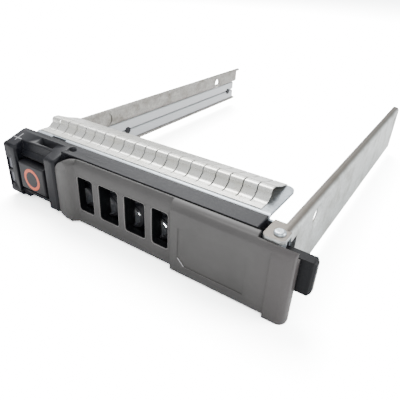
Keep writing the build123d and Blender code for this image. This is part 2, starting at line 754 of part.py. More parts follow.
# Right rail: folded sheet with a flange, two ears that hold the lever's rivet, and a notch that
# the hook swings through.
with BuildPart() as right_rail:
    with BuildSketch(Plane.XZ.offset(-right_end)):
        with BuildLine():
            FilletPolyline(
                (right_outer - right_flange, top),
                (right_outer, top),
                (right_outer, lower_ear_bottom),
                radius=fold,
            )
            offset(amount=rail_sheet, side=Side.RIGHT)
        make_face()
    extrude(amount=right_rail_end - web_front)
    block(bay_right - past, right_outer + past, face, face + notch_back, notch_bottom, notch_top,
          Mode.SUBTRACT)
    block(bay_right - past, right_outer + past, face, face + foot_front, base,
          notch_bottom + past, Mode.SUBTRACT)
    # upper ear
    with BuildSketch(Plane.XY.offset(flange_under)):
        with BuildLine():
            Polyline(
                (pivot_x - ear_reach, face + ear_back),
                (pivot_x - ear_reach, face + ear_front),
                (right_outer, face + ear_front),
                (right_outer, face + web_front),
                (right_outer - fold, face + web_front),
                (right_outer - fold, face + ear_back),
                close=True,
            )
        make_face()
        fillet(vertices().group_by(Axis.Y)[0], radius=ear_corner)
    extrude(amount=rail_sheet)
    # lower ear, round about the rivet
    with BuildSketch(Plane.XY.offset(lower_ear_bottom)):
        with Locations((pivot_x, pivot_y)):
            Circle(lower_ear_radius)
        with Locations(((pivot_x + right_outer) / 2, (pivot_y + face + notch_back) / 2)):
            Rectangle(right_outer - pivot_x, face + notch_back - pivot_y)
    extrude(amount=rail_sheet)
    block(bay_right - return_width, right_outer, shield_back, shield_back + rail_sheet,
          notch_bottom, notch_top)
    bar(pivot_x, pivot_y, base, rivet_radius + snug_fit, bezel_height + past, "z", Mode.SUBTRACT)
    for place in (screw_front, screw_front + screw_pitch):
        with Locations(Location((right_outer, face + place, screw_z), (0, 90, 0))):
            CounterSinkHole(screw_hole_radius, dimple_radius, depth=rail_sheet + past,
                            counter_sink_angle=dimple_angle)
right_rail.part.label = "right_rail"
export_step(right_rail.part, "parts/right_rail.step")

# Screws through the shield into the frame.
with BuildPart() as frame_screws:
    for place in screw_places:
        bar(place, screw_tip, base + screw_height, screw_radius, screw_length, "y")
        bar(place, shield_back, base + screw_height, screw_head_radius, screw_head, "y")
        bar(place, shield_back + screw_head - screw_drive_depth, base + screw_height,
            screw_drive_radius, screw_drive_depth + past, "y", Mode.SUBTRACT)
frame_screws.part.label = "frame_screws"
export_step(frame_screws.part, "parts/frame_screws.step")
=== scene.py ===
"""Hot swap drive caddy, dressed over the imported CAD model, as the photograph shows it."""

import bmesh
import bpy
import numpy as np
from mathutils import Matrix, Vector


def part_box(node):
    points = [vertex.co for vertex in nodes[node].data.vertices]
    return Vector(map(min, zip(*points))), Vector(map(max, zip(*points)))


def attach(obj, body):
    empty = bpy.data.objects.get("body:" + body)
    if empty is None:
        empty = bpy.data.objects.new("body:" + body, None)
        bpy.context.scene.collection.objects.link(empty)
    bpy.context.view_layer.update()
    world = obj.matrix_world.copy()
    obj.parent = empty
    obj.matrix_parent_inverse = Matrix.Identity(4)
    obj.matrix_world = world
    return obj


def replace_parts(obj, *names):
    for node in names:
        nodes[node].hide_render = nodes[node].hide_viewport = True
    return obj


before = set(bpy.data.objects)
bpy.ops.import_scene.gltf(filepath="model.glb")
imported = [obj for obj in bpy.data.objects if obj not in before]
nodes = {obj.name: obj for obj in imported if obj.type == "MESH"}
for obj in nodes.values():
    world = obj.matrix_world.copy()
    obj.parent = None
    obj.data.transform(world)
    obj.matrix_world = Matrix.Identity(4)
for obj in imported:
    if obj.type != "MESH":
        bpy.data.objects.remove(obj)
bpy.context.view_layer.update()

# Camera: a phone-like lens close to the front's right half, looking down along the lever.
# Its place and lens were solved from the vanishing lines of the rails and the lever.
camera_data = bpy.data.cameras.new("camera")
camera_data.sensor_width = 36.0
camera_data.lens = 36.70
camera_data.clip_start = 0.005
camera = bpy.data.objects.new("camera", camera_data)
right_way = Vector((0.83125, 0.55362, 0.05018))
up_way = Vector((-0.3138, 0.3929, 0.8644))
back_way = Vector((0.45882, -0.73427, 0.50033))
stand = Matrix.Translation((0.05197, -0.10903, 0.05573))
camera.matrix_world = stand @ Matrix((right_way, up_way, back_way)).transposed().to_4x4()
bpy.context.scene.collection.objects.link(camera)
bpy.context.scene.camera = camera

# Floor: a sheet of matt white paper under the whole object, wide enough for every view. It is
# seen three stops over, as the photograph's burnt out white is, but lights the object as paper.
paper_half = 8.0
paper_white = (0.93, 0.93, 0.93, 1)
paper_seen = (8.6, 8.65, 8.5, 1)
paper_mesh = bpy.data.meshes.new("paper_floor")
paper_mesh.from_pydata(
    [(-paper_half, -paper_half, 0), (paper_half, -paper_half, 0),
     (paper_half, paper_half, 0), (-paper_half, paper_half, 0)], [], [(0, 1, 2, 3)])
paper = bpy.data.objects.new("paper_floor", paper_mesh)
bpy.context.scene.collection.objects.link(paper)
paper_finish = bpy.data.materials.new("white_paper")
paper_finish.use_nodes = True
paper_tree = paper_finish.node_tree
paper_tree.nodes.clear()
paper_matt = paper_tree.nodes.new("ShaderNodeBsdfDiffuse")
paper_ray = paper_tree.nodes.new("ShaderNodeLightPath")
paper_tone = paper_tree.nodes.new("ShaderNodeMix")
paper_tone.data_type = "RGBA"
paper_tone.inputs["A"].default_value = paper_white
paper_tone.inputs["B"].default_value = paper_seen
paper_out = paper_tree.nodes.new("ShaderNodeOutputMaterial")
paper_tree.links.new(paper_ray.outputs["Is Camera Ray"], paper_tone.inputs["Factor"])
paper_tree.links.new(paper_tone.outputs["Result"], paper_matt.inputs["Color"])
paper_tree.links.new(paper_matt.outputs["BSDF"], paper_out.inputs["Surface"])
paper_mesh.materials.append(paper_finish)

# Studio light: a pale room, one large soft lamp high behind the left rail, a weaker one at the
# front, and one beyond the right rail that lights that rail's wall.
room = bpy.data.worlds.new("room")
bpy.context.scene.world = room
room.use_nodes = True
room.node_tree.nodes["Background"].inputs["Color"].default_value = (0.95, 0.97, 1.0, 1)
room.node_tree.nodes["Background"].inputs["Strength"].default_value = 0.75


def soft_lamp(name, place, aim, size, power):
    """A square lamp at place, turned so that its face looks at aim."""
    data = bpy.data.lights.new(name, "AREA")
    data.size = size
    data.energy = power
    lamp = bpy.data.objects.new(name, data)
    lamp.location = place
    lamp.rotation_euler = (Vector(aim) - Vector(place)).to_track_quat("-Z", "Y").to_euler()
    bpy.context.scene.collection.objects.link(lamp)


soft_lamp("key_lamp", (-0.25, 0.25, 0.55), (0, -0.02, 0), 0.45, 7.0)
soft_lamp("front_lamp", (0.35, -0.6, 0.35), (0, -0.05, 0), 0.5, 2.0)
soft_lamp("side_lamp", (0.6, 0.2, 0.25), (0.03, 0, 0), 0.4, 4.0)

# Front frame: black glass-filled plastic, moulded in one piece with a fine matt grain, which
# handling has polished a little. The CAD node's mesh gets a crisper corner at its left end, and
# a knife cuts the hollow over the button.
mm = 0.001
frame_low, frame_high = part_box("front_frame")
left_end, front_plane, frame_top = frame_low[0], frame_low[1], frame_high[2]
bezel_height = 16.0 * mm
underside = frame_top - bezel_height
end_round = 1.6 * mm
end_power = 6
merge_reach = 0.001 * mm
sharp_turn = 0.6
cloud_scale = 140.0
cloud_detail = 5.0
cloud_span = (0.3, 0.7)
sheen_spread = 0.1
grain_scale = 4000.0
grain_detail = 2.0
grain_strength = 0.5
edge_samples = 6


def moulded_plastic(name, shade, tint, roughness, gloss, grain_height, edge_round):
    """Base colour: a slow cloud between shade and tint. Roughness: the same cloud, plus or minus
    a tenth. Bump: a grain of 0.25 mm. Edges are rounded in the normals by edge_round."""
    finish = bpy.data.materials.new(name)
    finish.use_nodes = True
    make = finish.node_tree.nodes.new
    link = finish.node_tree.links.new
    shader = finish.node_tree.nodes["Principled BSDF"]
    shader.inputs["Specular IOR Level"].default_value = gloss
    place = make("ShaderNodeTexCoord")
    cloud = make("ShaderNodeTexNoise")
    cloud.inputs["Scale"].default_value = cloud_scale
    cloud.inputs["Detail"].default_value = cloud_detail
    link(place.outputs["Object"], cloud.inputs["Vector"])
    tone = make("ShaderNodeValToRGB")
    tone.color_ramp.elements[0].position = cloud_span[0]
    tone.color_ramp.elements[0].color = (*shade, 1)
    tone.color_ramp.elements[1].position = cloud_span[1]
    tone.color_ramp.elements[1].color = (*tint, 1)
    link(cloud.outputs["Fac"], tone.inputs["Fac"])
    link(tone.outputs["Color"], shader.inputs["Base Color"])
    sheen = make("ShaderNodeMapRange")
    sheen.inputs["To Min"].default_value = roughness - sheen_spread
    sheen.inputs["To Max"].default_value = roughness + sheen_spread
    link(cloud.outputs["Fac"], sheen.inputs["Value"])
    link(sheen.outputs["Result"], shader.inputs["Roughness"])
    grain = make("ShaderNodeTexNoise")
    grain.inputs["Scale"].default_value = grain_scale
    grain.inputs["Detail"].default_value = grain_detail
    link(place.outputs["Object"], grain.inputs["Vector"])
    round_edge = make("ShaderNodeBevel")
    round_edge.samples = edge_samples
    round_edge.inputs["Radius"].default_value = edge_round
    bump = make("ShaderNodeBump")
    bump.inputs["Strength"].default_value = grain_strength
    bump.inputs["Distance"].default_value = grain_height
    link(grain.outputs["Fac"], bump.inputs["Height"])
    link(round_edge.outputs["Normal"], bump.inputs["Normal"])
    link(bump.outputs["Normal"], shader.inputs["Normal"])
    return finish


def dress(node, finish):
    """Gives a CAD node one finish all over."""
    nodes[node].data.materials.clear()
    nodes[node].data.materials.append(finish)


def link_piece(name, mesh, finish, body):
    """A mesh as a finished piece: smooth, sharp where its faces turn by more than sharp_turn
    radians, with one finish, riding on a body. Its normals follow its larger faces."""
    mesh.materials.clear()
    mesh.materials.append(finish)
    mesh.shade_smooth()
    mesh.set_sharp_from_angle(angle=sharp_turn)
    piece = bpy.data.objects.new(name, mesh)
    bpy.context.scene.collection.objects.link(piece)
    even = piece.modifiers.new("even_normals", "WEIGHTED_NORMAL")
    even.keep_sharp = True
    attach(piece, body)
    return piece


def merged_copy(node, name):
    """A new mesh from a CAD node's triangles, with its doubles merged."""
    work = bmesh.new()
    work.from_mesh(nodes[node].data)
    bmesh.ops.remove_doubles(work, verts=work.verts, dist=merge_reach)
    mesh = bpy.data.meshes.new(name)
    work.to_mesh(mesh)
    work.free()
    return mesh


def mesh_points(mesh):
    """The mesh's vertices as an array of shape (count, 3)."""
    points = np.empty(3 * len(mesh.vertices))
    mesh.vertices.foreach_get("co", points)
    return points.reshape(-1, 3)


def crisp_corner(points):
    """Round the centre of the end's rounded corner, a point at the arc's distance moves out to a
    superellipse: its distance is divided by the sixth root of cos^6 + sin^6 of its angle."""
    u = end_round - (points[:, 0] - left_end)
    v = end_round - (points[:, 1] - front_plane)
    near = (u > 0) & (v > 0)
    away = np.hypot(u, v)[near]
    grow = ((u[near] / away) ** end_power + (v[near] / away) ** end_power) ** (-1 / end_power)
    moved = points.copy()
    moved[near, 0] = left_end + end_round - u[near] * grow
    moved[near, 1] = front_plane + end_round - v[near] * grow
    return moved


def closed_solid(name, points):
    """A mesh from a grid of points of shape (stations, outline, 3): the outline is a closed loop
    carried along the stations, and the first and last loops are capped."""
    stations, outline = points.shape[:2]
    a, b = (i.ravel() for i in np.meshgrid(np.arange(stations - 1), np.arange(outline),
                                           indexing="ij"))
    d = (b + 1) % outline
    sides = np.stack([a * outline + b, (a + 1) * outline + b, (a + 1) * outline + d,
                      a * outline + d], 1)
    caps = np.arange(outline) + np.array([[0], [(stations - 1) * outline]])
    mesh = bpy.data.meshes.new(name)
    mesh.from_pydata(points.reshape(-1, 3).tolist(), [], sides.tolist() + caps.tolist())
    work = bmesh.new()
    work.from_mesh(mesh)
    bmesh.ops.recalc_face_normals(work, faces=work.faces)
    work.to_mesh(mesh)
    work.free()
    return mesh


def carve(name, mesh, knife_mesh):
    """The mesh with the knife cut out of it by an exact boolean, as a new mesh of one finish."""
    body = bpy.data.objects.new(name, mesh)
    knife = bpy.data.objects.new("knife", knife_mesh)
    bpy.context.scene.collection.objects.link(body)
    bpy.context.scene.collection.objects.link(knife)
    cut = body.modifiers.new("cut", "BOOLEAN")
    cut.operation = "DIFFERENCE"
    cut.solver = "EXACT"
    cut.object = knife
    bpy.context.view_layer.update()
    shaped = bpy.data.meshes.new_from_object(body.evaluated_get(
        bpy.context.evaluated_depsgraph_get()))
    bpy.data.objects.remove(body)
    bpy.data.objects.remove(knife)
    shaped.polygons.foreach_set("material_index", np.zeros(len(shaped.polygons), dtype=np.int32))
    return shaped


hollow_ends = (4.42 * mm, 15.68 * mm)
hollow_centre = (-1.5 * mm, 14.2 * mm)
hollow_radius = 4.3 * mm
hollow_foot = 11.4 * mm
recess_ceiling = 12.98 * mm
recess_back = 4.55 * mm
knife_top = 17.0 * mm
knife_front = -1.5 * mm
hollow_steps = 25


def hollow_solid(name, high, depth, steps):
    """Outline: the hollow's arc from the height high down to its foot, where y is the centre's
    plus the root of radius squared less height squared, closed at depth. Carried along X."""
    z = np.linspace(high, hollow_foot, steps)
    y = hollow_centre[0] + np.sqrt(hollow_radius ** 2 - (z - hollow_centre[1]) ** 2)
    y = np.concatenate([y, [depth, depth]])
    z = np.concatenate([z, [hollow_foot, high]])
    x = np.array(hollow_ends)[:, None] + 0 * y[None, :]
    return closed_solid(name, np.stack([left_end + x, front_plane + y + 0 * x,
                                        underside + z + 0 * x], 2))


frame_black = moulded_plastic("frame_black", (0.004, 0.0045, 0.007), (0.008, 0.0088, 0.0125), 0.45,
                              0.3, 0.00002, 0.00035)
frame_mesh = merged_copy("front_frame", "frame_moulding")
frame_mesh.vertices.foreach_set("co", crisp_corner(mesh_points(frame_mesh)).ravel())
frame_mesh.update()
frame_mesh = carve("frame_moulding", frame_mesh,
                   hollow_solid("hollow_knife", knife_top, knife_front, hollow_steps))
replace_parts(link_piece("frame_moulding", frame_mesh, frame_black, "caddy"),
            "front_frame")
dress("pipe_studs", frame_black)

# Cove over the button: the same moulding. It carries the hollow, which a fingertip follows down
# to the button, on through the back of the recess from the ear to the post.
cove_steps = 17
link_piece("button_cove", hollow_solid("button_cove", recess_ceiling, recess_back, cove_steps),
           frame_black, "caddy")

# Vent tubes: six-sided guide tubes in the round vents, part of the same moulding, that run
# through the frame's rear wall and the shield. Their black is painted lighter than the frame's,
# a painted highlight on their facets, and is glossier; their mouths are chamfered.
vent_first = 23.95 * mm
vent_pitch = 7.55 * mm
vent_columns = 4
vent_levels = (4.9 * mm, 11.2 * mm)
tube_outside = 2.595 * mm
tube_half_width = 1.6 * mm
tube_stretch = 1.245
tube_mouth = 4.82 * mm
tube_end = 7.95 * mm
tube_chamfer = 0.12 * mm
tube_turns = 72


def grid_mesh(name, points):
    """A mesh from a grid of points of shape (u, v, 3) that closes on itself both ways."""
    rows, columns = points.shape[:2]
    a, b = (i.ravel() for i in np.meshgrid(np.arange(rows), np.arange(columns), indexing="ij"))
    c, d = (a + 1) % rows, (b + 1) % columns
    faces = np.stack([a * columns + b, c * columns + b, c * columns + d, a * columns + d], 1)
    mesh = bpy.data.meshes.new(name)
    mesh.from_pydata(points.reshape(-1, 3).tolist(), [], faces.tolist())
    work = bmesh.new()
    work.from_mesh(mesh)
    bmesh.ops.recalc_face_normals(work, faces=work.faces)
    work.to_mesh(mesh)
    work.free()
    return mesh


def tube_points(x, z, turns):
    """Round the tube by angle u. The outside is a circle. The bore is a hexagon with a corner on
    top, its radius the half width over cos(angle to the nearest flat), stretched in height."""
    u = np.linspace(0, 2 * np.pi, turns, endpoint=False)
    flat = np.mod(u + np.pi / 6, np.pi / 3) - np.pi / 6
    bore = tube_half_width / np.cos(flat)
    outside_x, outside_z = tube_outside * np.cos(u), tube_outside * np.sin(u)
    bore_x, bore_z = bore * np.cos(u), tube_stretch * bore * np.sin(u)
    wide = 1 + tube_chamfer / tube_half_width
    loops = [(outside_x, tube_mouth + tube_chamfer, outside_z), (outside_x, tube_end, outside_z),
             (bore_x, tube_end, bore_z), (bore_x, tube_mouth + tube_chamfer, bore_z),
             (bore_x * wide, tube_mouth, bore_z * wide)]
    return np.stack([np.stack([left_end + x + lx, front_plane + ly + 0 * lx, underside + z + lz], 1)
                     for lx, ly, lz in loops], 1)


# Painted highlight: the tubes' black is lighter than the frame's.
tube_black_painted_light = moulded_plastic("tube_black_painted_light", (0.03, 0.031, 0.035), (0.05, 0.051, 0.056), 0.32,
                             0.6, 0.00001, 0.0001)
for column in range(vent_columns):
    for row, level in enumerate(vent_levels):
        tube_name = f"vent_tube_{column + 1}_{row + 1}"
        middle = vent_first + vent_pitch * column
        tube = grid_mesh(tube_name, tube_points(middle, level, tube_turns))
        link_piece(tube_name, tube, tube_black_painted_light, "caddy")

# Mark on the ear: a small plain cross, printed in thin light ink on the sloping top. It is two
# strokes, and one crosses the other off its middle.
slope_rise = 1.8 * mm
slope_run = 5.5 * mm
cross_middle = (2.53 * mm, 2.9 * mm)
cross_arms = (((-2.1, 0), (1.5, 0)), ((0, -0.9), (0, 1.8)))
cross_width = 0.16 * mm
cross_ink = 0.012 * mm
ridge_taper = 0.02
ridge_tip = 0.1
ridge_sides = 12


def ridge_points(start, end, out, half_width, half_height):
    """A flattened tube from start to end: its outline is an ellipse, half_width to the sides and
    half_height along out, and it shrinks to ridge_tip of that at its ends."""
    start, end, out = np.array(start), np.array(end), np.array(out)
    side = np.cross(end - start, out)
    side = side / np.linalg.norm(side)
    along = np.array([0, ridge_taper, 1 - ridge_taper, 1])[:, None, None]
    size = np.array([ridge_tip, 1, 1, ridge_tip])[:, None, None]
    v = np.linspace(0, 2 * np.pi, ridge_sides, endpoint=False)[None, :, None]
    across = half_width * np.cos(v) * side + half_height * np.sin(v) * out
    return start + along * (end - start) + size * across


mark_ink = moulded_plastic("mark_ink", (0.20, 0.20, 0.21), (0.30, 0.30, 0.31), 0.5, 0.4, 0.000005,
                           0.00001)
slope_out = np.array([0, -slope_rise, slope_run]) / np.hypot(slope_rise, slope_run)
for number, arm in enumerate(cross_arms):
    marks = [(cross_middle[0] + x * mm, cross_middle[1] + y * mm) for x, y in arm]
    ends = [(left_end + x, front_plane + y, frame_top - slope_rise + slope_rise / slope_run * y)
            for x, y in marks]
    mark_name = f"ear_cross_{number + 1}"
    mark = closed_solid(mark_name, ridge_points(*ends, slope_out, cross_width, cross_ink))
    link_piece(mark_name, mark, mark_ink, "caddy")

# Lever arm: the black ribbed moulding that carries the cover and turns on the rivet. Its black
# is painted darker than the frame's, painted shade for the cover's shade it lies in.
dress("lever_arm", moulded_plastic("arm_black_painted_shade", (0.003, 0.0033, 0.0045), (0.006, 0.0062, 0.008),
                                   0.45, 0.2, 0.00002, 0.0003))

# Release button: the same black plastic, moulded smoother, with an orange ring printed round
# the middle of its face. The ring is a thin crowned layer of ink.
dress("release_button", moulded_plastic("button_black", (0.008, 0.008, 0.010),
                                        (0.014, 0.014, 0.017), 0.4, 0.35, 0.00001, 0.0004))
ring_middle = (left_end + 9.7 * mm, underside + 6.6 * mm)
ring_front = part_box("release_button")[0][1]
ring_radius = 2.48 * mm
ring_width = 0.8 * mm
ring_height = 0.04 * mm
ring_turns = 72
ring_across = 9
ring_cloud_scale = 1200.0


def ring_points(turns, across):
    """Round the ring by angle u, and across it by v: the radius goes from the inner to the outer
    edge, the ink stands out by a half sine, and the last point closes its back."""
    u = np.linspace(0, 2 * np.pi, turns, endpoint=False)[:, None]
    v = np.linspace(0, 1, across)[None, :]
    radius = ring_radius + (v - 0.5) * ring_width + 0 * u
    height = np.sin(np.pi * v) ** 0.5 * ring_height + 0 * u
    return np.stack([ring_middle[0] + radius * np.cos(u), ring_front - height,
                     ring_middle[1] + radius * np.sin(u)], 2)


ring_ink = bpy.data.materials.new("orange_ink")
ring_ink.use_nodes = True
ring_shader = ring_ink.node_tree.nodes["Principled BSDF"]
ring_cloud = ring_ink.node_tree.nodes.new("ShaderNodeTexNoise")
ring_cloud.inputs["Scale"].default_value = ring_cloud_scale
ring_place = ring_ink.node_tree.nodes.new("ShaderNodeTexCoord")
ring_tone = ring_ink.node_tree.nodes.new("ShaderNodeValToRGB")
ring_tone.color_ramp.elements[0].color = (0.62, 0.09, 0.04, 1)
ring_tone.color_ramp.elements[1].color = (0.85, 0.16, 0.07, 1)
ring_ink.node_tree.links.new(ring_place.outputs["Object"], ring_cloud.inputs["Vector"])
ring_ink.node_tree.links.new(ring_cloud.outputs["Fac"], ring_tone.inputs["Fac"])
ring_ink.node_tree.links.new(ring_tone.outputs["Color"], ring_shader.inputs["Base Color"])
ring_shader.inputs["Roughness"].default_value = 0.4
link_piece("button_ring", grid_mesh("button_ring", ring_points(ring_turns, ring_across)), ring_ink,
           "button")

# Lever cover: grey plastic with a satin paint, pressed onto pegs of the lever arm. It is the CAD
# node's mesh, filled out at its left bevel, from which a knife cuts a flatter bevel and a longer
# corner round the grip.
grip_left = 18.9 * mm
cad_grip_left = 19.3 * mm
cad_bevel = (2.0 * mm, 1.5 * mm)
bevel_width = 2.6 * mm
bevel_depth = 0.35 * mm
corner_centre = (26.2 * mm, 11.8 * mm)
corner_axes = (7.3 * mm, 4.2 * mm)
foot_axes = (1.6 * mm, 1.4 * mm)
knife_reach = 3.0 * mm
knife_back = 3.0 * mm
knife_clear = 0.02 * mm
knife_steps = 17
bevel_reach = 0.02 * mm
corner_shrink = 0.6
cast_span = (70 * mm, 76 * mm)


def filled_bevel(points):
    """A vertex on the CAD bevel, where depth falls evenly from the left edge to the face, moves
    forward to the face, and left in proportion, so that the left edge comes to grip_left."""
    x = points[:, 0] - left_end - cad_grip_left
    y = points[:, 1] - front_plane
    width, depth = cad_bevel
    off_bevel = np.abs(y - depth * (1 - x / width))
    on_bevel = (x < width + bevel_reach) & (off_bevel < bevel_reach)
    shift = (cad_grip_left - grip_left) * (1 - x / width)
    moved = points.copy()
    moved[on_bevel, 0] -= shift[on_bevel]
    moved[on_bevel, 1] = front_plane
    return moved


def knife_path(off, steps):
    """The grip's outline moved inwards by off, from below its foot to its top: a quarter ellipse
    that fades out inwards, the straight left side, and a quarter ellipse with smaller axes."""
    turn = np.linspace(np.pi / 2, 0, steps)
    fade = min(1, max(0, 1 - off / bevel_width))
    foot_x = grip_left + off + fade * foot_axes[0] * (1 - np.cos(turn))
    foot_z = foot_axes[1] * (1 - np.sin(turn))
    top_x = corner_centre[0] - (corner_axes[0] - off) * np.cos(np.pi / 2 - turn)
    top_z = corner_centre[1] + (corner_axes[1] - corner_shrink * off) * np.sin(np.pi / 2 - turn)
    x = np.concatenate([foot_x[:1], foot_x, top_x])
    z = np.concatenate([[-knife_reach], foot_z, top_z])
    return x, z


def knife_points(steps):
    """Outline: the bevel from the face to the left edge, back behind the cover, out to the left,
    and forward again. Each of its corners follows its own path."""
    outline = ((bevel_width, -knife_clear), (0, bevel_depth), (0, knife_back),
               (-knife_reach, knife_back), (-knife_reach, knife_front), (bevel_width, knife_front))
    rows = []
    for off, y in outline:
        x, z = knife_path(off, steps)
        rows.append(np.stack([left_end + x, front_plane + y + 0 * x, underside + z], 1))
    return np.stack(rows, 1)


def cast_along(finish, axis, start, end, cast):
    """Mixes the base colour towards cast from start to end along an axis, "X" or "Y"."""
    make = finish.node_tree.nodes.new
    link = finish.node_tree.links.new
    colour = finish.node_tree.nodes["Principled BSDF"].inputs["Base Color"]
    before = colour.links[0].from_socket
    place = make("ShaderNodeTexCoord")
    split = make("ShaderNodeSeparateXYZ")
    share = make("ShaderNodeMapRange")
    share.inputs["From Min"].default_value = start
    share.inputs["From Max"].default_value = end
    mix = make("ShaderNodeMix")
    mix.data_type = "RGBA"
    mix.inputs["B"].default_value = (*cast, 1)
    link(place.outputs["Object"], split.inputs["Vector"])
    link(split.outputs[axis], share.inputs["Value"])
    link(share.outputs["Result"], mix.inputs["Factor"])
    link(before, mix.inputs["A"])
    link(mix.outputs["Result"], colour)


cover_grey = moulded_plastic("cover_grey", (0.068, 0.066, 0.064), (0.086, 0.083, 0.081), 0.42,
                             0.45, 0.00001, 0.0004)
cast_along(cover_grey, "X", left_end + cast_span[0], left_end + cast_span[1],
           (0.080, 0.074, 0.073))
cover_mesh = merged_copy("lever_cover", "cover_shell")
cover_mesh.vertices.foreach_set("co", filled_bevel(mesh_points(cover_mesh)).ravel())
cover_mesh.update()
cover_mesh = carve("cover_shell", cover_mesh, closed_solid("knife", knife_points(knife_steps)))
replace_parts(link_piece("cover_shell", cover_mesh, cover_grey, "lever"),
            "lever_cover")

# Window linings: the arm's black collars stand in the cover's windows, so that only a thin lip
# of the grey shell shows round each. The lip is painted light grey all round, a painted
# highlight that the lamps make brightest along the bottom. The collars are painted as dark as
# the arm, painted shade.
window_edges = ((25.3, 30.35), (31.95, 37.9), (39.45, 45.45), (47.0, 51.5))
window_levels = (3.45 * mm, 12.4 * mm)
window_corner = 0.8 * mm
panel_face = 1.1 * mm
lip_depth = 0.26 * mm
lip_width = 0.07 * mm
collar_width = 0.14 * mm
collar_back = 3.15 * mm
ring_clear = 0.004 * mm
lip_proud = 0.01 * mm
window_steps = 7


def window_loop(start, end, inset, steps):
    """A rectangle with round corners, inset from the window: each corner's angle runs over its
    own quarter, about a centre that stands in from the corner by its radius."""
    turn = np.linspace(0, np.pi / 2, steps)[None, :] + np.arange(4)[:, None] * np.pi / 2
    side_x = np.array([1, -1, -1, 1])[:, None]
    side_z = np.array([1, 1, -1, -1])[:, None]
    half_x = (end - start) / 2 - window_corner
    half_z = (window_levels[1] - window_levels[0]) / 2 - window_corner
    radius = window_corner - inset
    x = (start + end) / 2 + side_x * half_x + radius * np.cos(turn)
    z = sum(window_levels) / 2 + side_z * half_z + radius * np.sin(turn)
    return x.ravel(), z.ravel()


def window_ring(start, end, width, front, back):
    """A ring in a window: its outline goes from the outer loop at the front to the outer loop at
    the back, and the inner loop back to the front."""
    loops = []
    for inset, y in ((ring_clear, front), (ring_clear, back), (width, back), (width, front)):
        x, z = window_loop(start, end, inset, window_steps)
        loops.append(np.stack([left_end + x, front_plane + y + 0 * x, underside + z], 1))
    return np.stack(loops, 1)


# Painted highlight on the lips, and painted shade on the collars inside the windows.
lip_painted_highlight = moulded_plastic("painted_lip_highlight", (0.24, 0.235, 0.23), (0.42, 0.41, 0.40), 0.3, 0.6,
                           0.000005, 0.00003)
lining_black_painted_shade = moulded_plastic("lining_black_painted_shade", (0.003, 0.0033, 0.004), (0.006, 0.0066, 0.008),
                               0.5, 0.2, 0.00001, 0.00005)
for number, (start, end) in enumerate(window_edges):
    ring = window_ring(start * mm, end * mm, lip_width, panel_face - lip_proud,
                       panel_face + lip_depth)
    link_piece(f"window_lip_{number + 1}", grid_mesh(f"window_lip_{number + 1}", ring), lip_painted_highlight,
               "lever")
    ring = window_ring(start * mm, end * mm, collar_width, panel_face + lip_depth, collar_back)
    link_piece(f"window_lining_{number + 1}", grid_mesh(f"window_lining_{number + 1}", ring),
               lining_black_painted_shade, "lever")

# Label panel: along the edge of its shallow recess lies a painted highlight, bright white across
# the cut corner and faint grey along the bottom.
glint_ends = ((54.72, 3.78), (56.32, 2.18))
faint_ends = ((56.4, 2.17), (69.5, 2.17))
face_out = (0.0, -1.0, 0.0)
glint_width = 0.075 * mm
faint_width = 0.045 * mm
edge_height = 0.03 * mm
faint_painted_grey = moulded_plastic("painted_faint_highlight", (0.14, 0.138, 0.13), (0.2, 0.196, 0.19), 0.4, 0.5,
                             0.000005, 0.00003)
glint_painted_white = moulded_plastic("painted_glint", (0.75, 0.75, 0.75), (0.88, 0.88, 0.88), 0.35, 0.5,
                              0.000005, 0.00003)
for name, ends, width, finish in (("label_painted_glint", glint_ends, glint_width, glint_painted_white),
                                  ("label_painted_faint_highlight", faint_ends, faint_width, faint_painted_grey)):
    (x0, z0), (x1, z1) = ends
    edge = ridge_points((left_end + x0 * mm, front_plane, underside + z0 * mm),
                        (left_end + x1 * mm, front_plane, underside + z1 * mm), face_out, width,
                        edge_height)
    link_piece(name, closed_solid(name, edge), finish, "lever")

# Front shield: zinc plated sheet steel, bluish, with crystals a few tenths of a millimetre wide,
# faint rolling lines and darker stains. Faces that slope up, along its front bend, are painted
# lighter and bluer, a painted highlight.
sheet_metallic = 0.85
crystal_scale = 1500.0
crystal_span = 0.9
stain_scale = 220.0
stain_detail = 6.0
stain_span = (0.45, 0.7)
streak_scales = (40.0, 2500.0)
streak_detail = 3.0
streak_sheen = 0.12
streak_strength = 0.4
streak_height = 0.00001
sheet_edge = 0.0002
sheet_samples = 4


